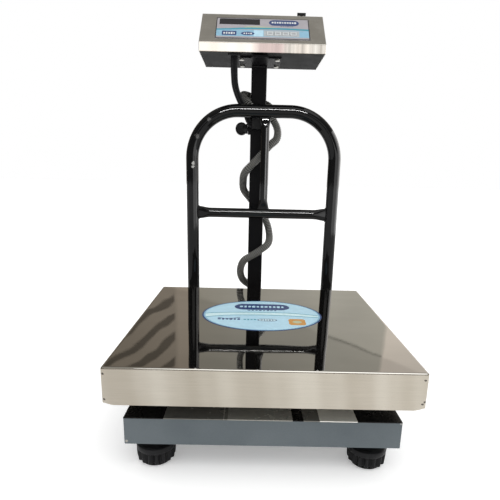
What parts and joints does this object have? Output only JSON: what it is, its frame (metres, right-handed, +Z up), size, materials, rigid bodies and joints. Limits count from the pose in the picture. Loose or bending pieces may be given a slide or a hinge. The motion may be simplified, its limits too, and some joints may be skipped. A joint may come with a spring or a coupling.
{
  "type": "animal weighing scale",
  "caption": "Bench platform scale with a polished square tray, rear guard hoop, telescopic mast and a sloping display head, on levelling feet.",
  "frame": {"origin": "on the floor, under the centre of the footprint's box, measured without the cords", "axes": "+Z up, +X to the user's right, +Y away from the user; the platform's centre is 52 mm in front of the origin"},
  "size_m": [0.4, 0.504, 0.6838],
  "materials": {
    "grey_paint": "blue-grey enamel on folded steel sheet",
    "polished_steel": "stainless sheet: mirror-polished top faces, brushed skirts",
    "zinc_steel": "zinc-plated fasteners",
    "aluminium": "machined aluminium",
    "black_enamel": "glossy black enamel",
    "black_rubber": "black rubber and PVC",
    "black_plastic": "moulded black plastic",
    "grey_hose": "grey corrugated conduit",
    "label_print": "printed light blue vinyl with a dark blue edge",
    "panel_print": "printed polyester membrane",
    "smoked_window": "smoked display window",
    "circuit_board": "green circuit board with its components",
    "brass": "brass standoffs",
    "battery_case": "sealed battery case"
  },
  "bodies": {
    "base": {"base_frame": "grey_paint", "base_deck": "polished_steel", "cross_channel": "grey_paint", "foot_nut_plates": "grey_paint", "foot_lock_nuts": "zinc_steel", "load_cell": "aluminium", "load_cell_spacers": "zinc_steel", "load_cell_screws": "zinc_steel", "overload_stops": "zinc_steel", "upper_frame": "black_enamel", "pan_buffers": "black_rubber", "cell_lead": "black_rubber", "conduit_gland": "black_plastic", "guard_sockets": "black_enamel", "bracket_bolts": "zinc_steel", "guard_hoop": "black_enamel", "guard_crossbar": "black_enamel", "guard_strut": "black_enamel", "column_bracket": "black_enamel", "column_bolts": "zinc_steel", "column": "black_enamel", "mast_bush": "black_plastic", "conduit": "grey_hose", "conduit_ferrule": "black_plastic", "signal_lead": "black_rubber", "earth_lead": "black_rubber"},
    "pan": {"pan": "polished_steel", "pan_label": "label_print"},
    "head": {"mast": "black_enamel", "head_bracket": "black_enamel", "head_screws": "zinc_steel", "head_base": "black_enamel", "head_cover": "polished_steel", "cover_screws": "zinc_steel", "membrane_panel": "panel_print", "display_window": "smoked_window", "display_module": "circuit_board", "key_board": "circuit_board", "main_board": "circuit_board", "board_standoffs": "brass", "battery": "battery_case", "battery_pads": "black_rubber", "battery_strap": "zinc_steel", "charger_socket": "black_plastic", "switch_body": "black_plastic", "cable_grommet": "black_rubber"},
    "clamp_knob": {"clamp_knob": "black_plastic"},
    "switch_lever": {"switch_lever": "black_plastic"},
    "key_zero": {"key_zero": "panel_print"},
    "key_tare": {"key_tare": "panel_print"},
    "key_unit": {"key_unit": "panel_print"},
    "key_hold": {"key_hold": "panel_print"},
    "foot_pad_front_left": {"foot_pad_front_left": "black_rubber"},
    "foot_pad_front_right": {"foot_pad_front_right": "black_rubber"},
    "foot_pad_rear_left": {"foot_pad_rear_left": "black_rubber"},
    "foot_pad_rear_right": {"foot_pad_rear_right": "black_rubber"},
    "foot_knob_front_left": {"foot_knob_front_left": "black_plastic"},
    "foot_knob_front_right": {"foot_knob_front_right": "black_plastic"},
    "foot_knob_rear_left": {"foot_knob_rear_left": "black_plastic"},
    "foot_knob_rear_right": {"foot_knob_rear_right": "black_plastic"}
  },
  "joints": [
    {"name": "pan_lift", "type": "slide", "parent": "base", "child": "pan", "axis": [0, 0, 1], "range_m": [0, 0.08]},
    {"name": "mast_slide", "type": "slide", "parent": "base", "child": "head", "axis": [0, 0, 1], "range_m": [0, 0.1]},
    {"name": "clamp_turn", "type": "hinge", "parent": "base", "child": "clamp_knob", "pos_m": [-0.045, 0.206, 0.472], "axis": [-1, 0, 0], "range_deg": [0, 540]},
    {"name": "switch_flip", "type": "hinge", "parent": "head", "child": "switch_lever", "pos_m": [0.066, 0.21, 0.675], "axis": [1, 0, 0], "range_deg": [-24, 0]},
    {"name": "key_zero_press", "type": "slide", "parent": "head", "child": "key_zero", "axis": [0, 0.6805, -0.7328], "range_m": [0, 0.0005], "stiffness_N_per_m": 600},
    {"name": "key_tare_press", "type": "slide", "parent": "head", "child": "key_tare", "axis": [0, 0.6805, -0.7328], "range_m": [0, 0.0005], "stiffness_N_per_m": 600},
    {"name": "key_unit_press", "type": "slide", "parent": "head", "child": "key_unit", "axis": [0, 0.6805, -0.7328], "range_m": [0, 0.0005], "stiffness_N_per_m": 600},
    {"name": "key_hold_press", "type": "slide", "parent": "head", "child": "key_hold", "axis": [0, 0.6805, -0.7328], "range_m": [0, 0.0005], "stiffness_N_per_m": 600},
    {"name": "foot_travel_front_left", "type": "slide", "parent": "base", "child": "foot_pad_front_left", "axis": [0, 0, -1], "range_m": [0, 0.01225]},
    {"name": "foot_turn_front_left", "type": "hinge", "parent": "foot_pad_front_left", "child": "foot_knob_front_left", "pos_m": [-0.146, -0.202, 0], "axis": [0, 0, -1], "range_deg": [0, 2520]},
    {"name": "foot_travel_front_right", "type": "slide", "parent": "base", "child": "foot_pad_front_right", "axis": [0, 0, -1], "range_m": [0, 0.01225]},
    {"name": "foot_turn_front_right", "type": "hinge", "parent": "foot_pad_front_right", "child": "foot_knob_front_right", "pos_m": [0.146, -0.202, 0], "axis": [0, 0, -1], "range_deg": [0, 2520]},
    {"name": "foot_travel_rear_left", "type": "slide", "parent": "base", "child": "foot_pad_rear_left", "axis": [0, 0, -1], "range_m": [0, 0.01225]},
    {"name": "foot_turn_rear_left", "type": "hinge", "parent": "foot_pad_rear_left", "child": "foot_knob_rear_left", "pos_m": [-0.146, 0.098, 0], "axis": [0, 0, -1], "range_deg": [0, 2520]},
    {"name": "foot_travel_rear_right", "type": "slide", "parent": "base", "child": "foot_pad_rear_right", "axis": [0, 0, -1], "range_m": [0, 0.01225]},
    {"name": "foot_turn_rear_right", "type": "hinge", "parent": "foot_pad_rear_right", "child": "foot_knob_rear_right", "pos_m": [0.146, 0.098, 0], "axis": [0, 0, -1], "range_deg": [0, 2520]}
  ],
  "couplings": [
    {"joint": "foot_travel_front_left", "follows": "foot_turn_front_left", "m_per_rad": 0.00027852},
    {"joint": "foot_travel_front_right", "follows": "foot_turn_front_right", "m_per_rad": 0.00027852},
    {"joint": "foot_travel_rear_left", "follows": "foot_turn_rear_left", "m_per_rad": 0.00027852},
    {"joint": "foot_travel_rear_right", "follows": "foot_turn_rear_right", "m_per_rad": 0.00027852}
  ]
}
